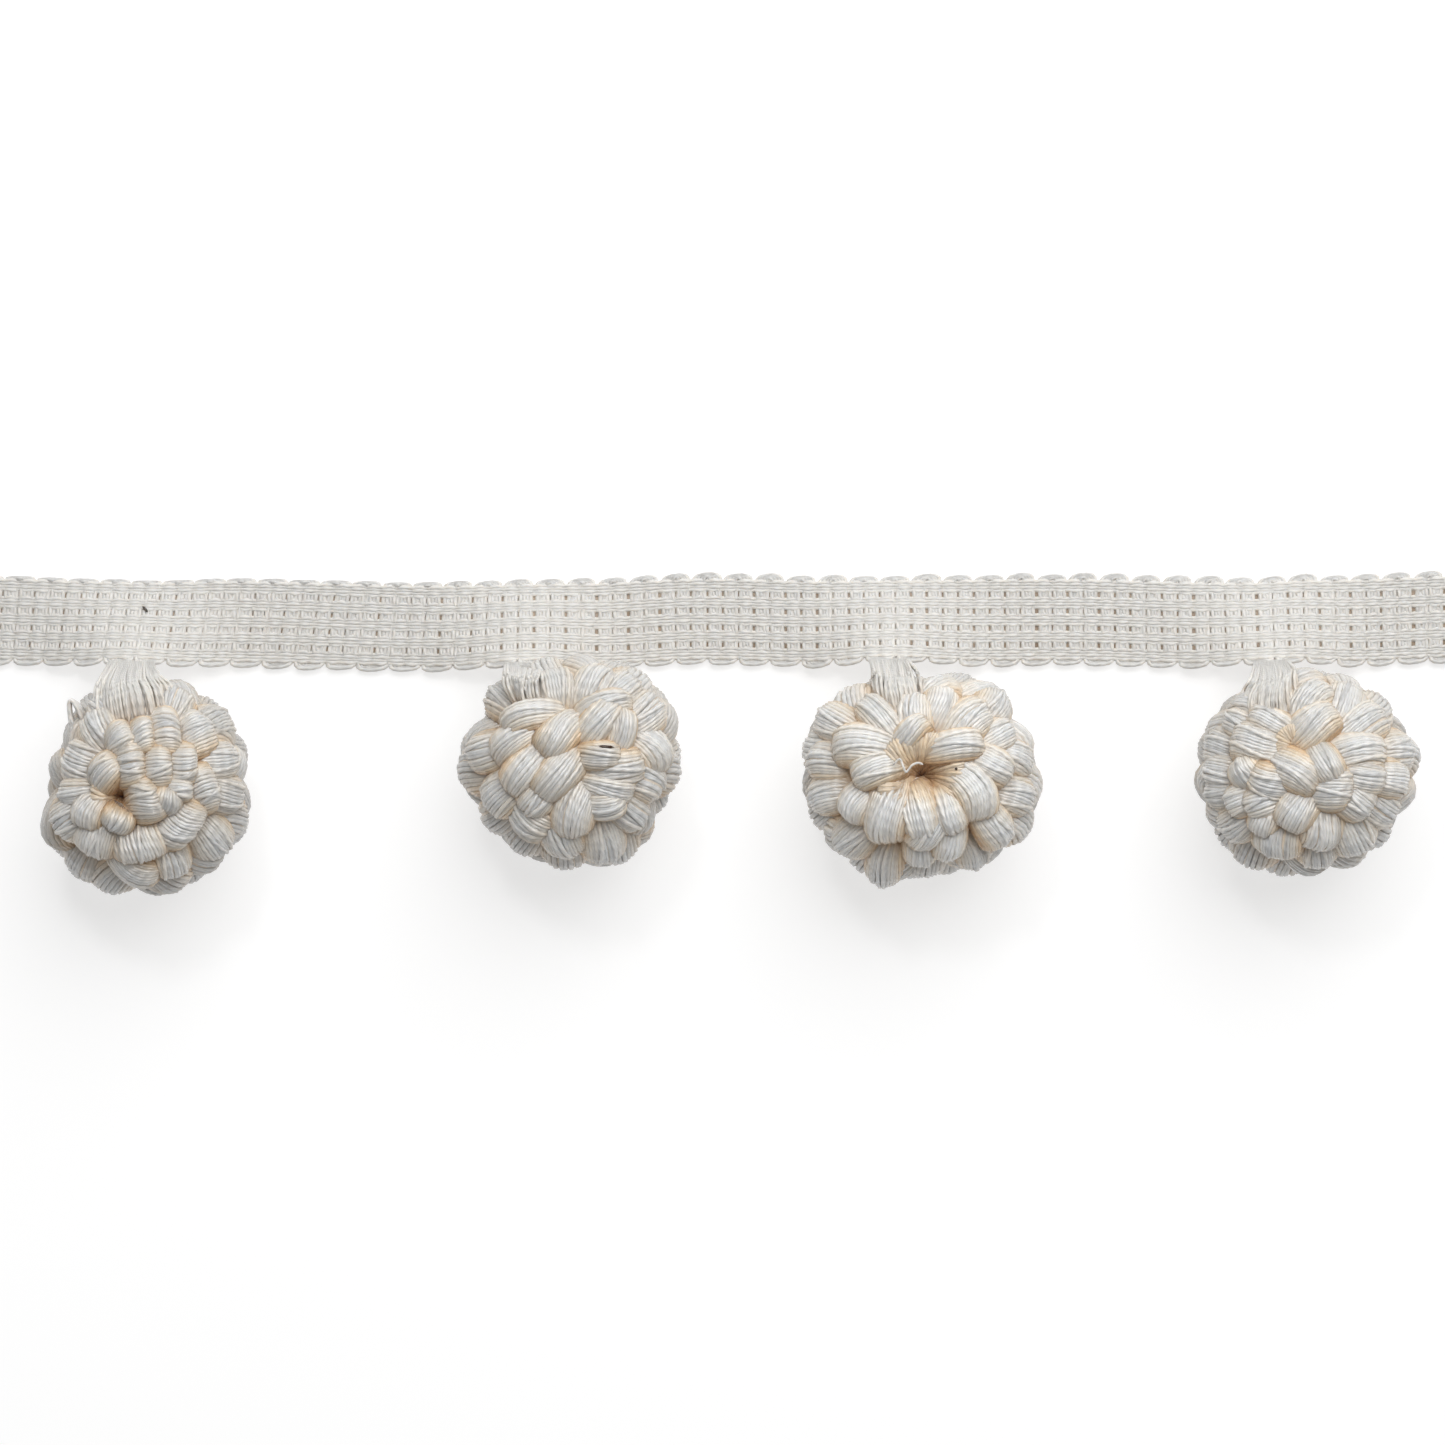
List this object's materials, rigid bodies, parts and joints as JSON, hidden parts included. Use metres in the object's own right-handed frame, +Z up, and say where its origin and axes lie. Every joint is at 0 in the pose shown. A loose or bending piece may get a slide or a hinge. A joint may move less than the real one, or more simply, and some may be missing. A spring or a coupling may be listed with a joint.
{
  "type": "pompom fringe trim",
  "caption": "Narrow woven heading tape with round looped-yarn pompoms on short woven hangers along its lower edge, lying flat: a trim to sew or glue along a hem or edge.",
  "frame": {"origin": "on the table under the middle of the trim's bounding box", "axes": "+X along the heading tape, +Y from the pompoms towards the tape, +Z up from the table"},
  "size_m": [0.2256, 0.0494, 0.0291],
  "materials": {
    "heading_yarn": "natural cream cotton yarn in a dense plain weave, soft satin",
    "pompom_yarn": "natural cream yarn in glossy looped locks, warmer in the creases"
  },
  "bodies": {
    "root": {"heading_tape": "heading_yarn", "hanger_1": "heading_yarn", "hanger_2": "heading_yarn", "hanger_3": "heading_yarn", "hanger_4": "heading_yarn", "pompom_1": "pompom_yarn", "pompom_2": "pompom_yarn", "pompom_3": "pompom_yarn", "pompom_4": "pompom_yarn"}
  },
  "joints": []
}
